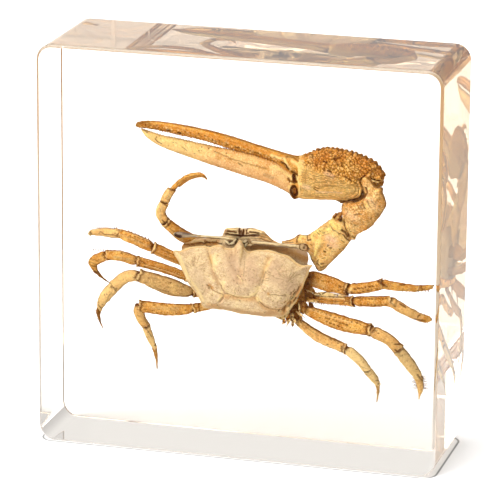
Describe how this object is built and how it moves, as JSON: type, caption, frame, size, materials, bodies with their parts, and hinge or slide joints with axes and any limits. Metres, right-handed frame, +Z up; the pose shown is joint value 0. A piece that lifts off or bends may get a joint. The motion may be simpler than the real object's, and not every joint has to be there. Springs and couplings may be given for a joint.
{
  "type": "fiddler crab in resin block",
  "caption": "Dried fiddler crab with one large claw, sealed in a clear, square resin block with rounded corners.",
  "frame": {"origin": "middle of the block's base, where it stands", "axes": "+Z up, +Y from the front face to the back face through the thin way of the block, +X to the right seen from the front"},
  "size_m": [0.075, 0.023, 0.075],
  "materials": {
    "shield_straw": "dried shell, satin",
    "shell_amber": "dried shell, satin",
    "finger_straw": "dried shell, satin",
    "leg_amber": "dried shell, satin",
    "eye_brown": "dried, satin",
    "resin_clear": "clear cast resin, polished"
  },
  "bodies": {
    "root": {"body": "shield_straw", "eyestalk_left": "eye_brown", "eyestalk_right": "eye_brown", "claw_arm": "shell_amber", "claw_wrist": "shell_amber", "claw_hand": "shell_amber", "claw_finger": "finger_straw", "small_claw_arm": "leg_amber", "small_claw_wrist": "leg_amber", "small_claw_hand": "leg_amber", "small_claw_finger": "leg_amber", "leg_left_1": "leg_amber", "leg_left_2": "leg_amber", "leg_left_3": "leg_amber", "leg_left_4": "leg_amber", "leg_right_1": "leg_amber", "leg_right_2": "leg_amber", "leg_right_3": "leg_amber", "leg_right_4": "leg_amber", "resin_front": "resin_clear", "resin_back": "resin_clear"}
  },
  "joints": []
}
